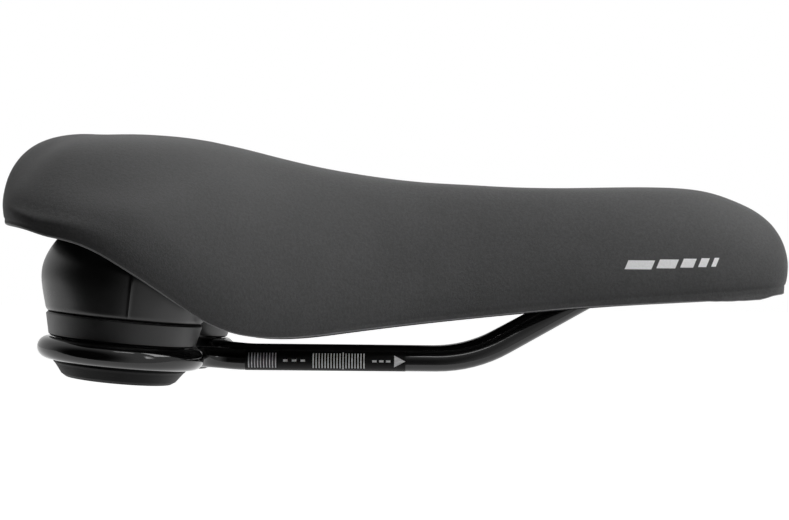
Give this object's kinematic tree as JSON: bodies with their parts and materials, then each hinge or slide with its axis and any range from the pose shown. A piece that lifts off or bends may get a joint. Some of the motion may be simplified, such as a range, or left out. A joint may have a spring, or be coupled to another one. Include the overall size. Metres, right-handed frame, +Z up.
{
  "type": "suspension bicycle saddle",
  "caption": "Padded bicycle saddle whose shell rocks on the nose bar of a one-piece bent rail and is sprung at the rear by a pair of barrel-shaped elastomer units.",
  "frame": {"origin": "middle of the straight clamping zone, half way between the two rails, at the height of their axes", "axes": "+X forward to the nose, +Y to the rider's left, +Z up"},
  "size_m": [0.2644, 0.1738, 0.0825],
  "materials": {
    "rail_paint": "gloss black paint",
    "cup_plastic": "satin moulded black",
    "cap_plastic": "satin moulded black",
    "spring_rubber": "semi-gloss moulded rubber",
    "cover_skin": "matte fine-grained synthetic",
    "foam": "open-cell foam",
    "gel": "soft gel",
    "shell_plastic": "textured moulded black",
    "clip_plastic": "satin moulded black",
    "steel": "zinc-plated",
    "sleeve_steel": "plain turned",
    "bumper_rubber": "matte",
    "insert_brass": "knurled"
  },
  "bodies": {
    "rails": {"rail": "rail_paint", "upper_cup_left": "cup_plastic", "upper_cup_right": "cup_plastic", "lower_cap_left": "cap_plastic", "lower_cap_right": "cap_plastic", "rubber_spring_left": "spring_rubber", "rubber_spring_right": "spring_rubber"},
    "saddle": {"cover": "cover_skin", "foam_cushion": "foam", "gel_pad_left": "gel", "gel_pad_right": "gel", "base_shell": "shell_plastic", "nose_clip": "clip_plastic", "nose_clip_screws": "steel", "suspension_bolt_left": "steel", "suspension_bolt_right": "steel", "bolt_washer_left": "steel", "bolt_washer_right": "steel", "guide_sleeve_left": "sleeve_steel", "guide_sleeve_right": "sleeve_steel", "top_out_bumper_left": "bumper_rubber", "top_out_bumper_right": "bumper_rubber", "threaded_insert_left": "insert_brass", "threaded_insert_right": "insert_brass"}
  },
  "joints": [
    {"name": "saddle_rock", "type": "hinge", "parent": "rails", "child": "saddle", "pos_m": [0.1215, 0, 0.031], "axis": [0, -1, 0], "range_deg": [0, 2.4], "stiffness_Nm_per_rad": 3250, "springref_deg": -11.46, "deforming": ["rubber_spring_left", "rubber_spring_right"]}
  ]
}
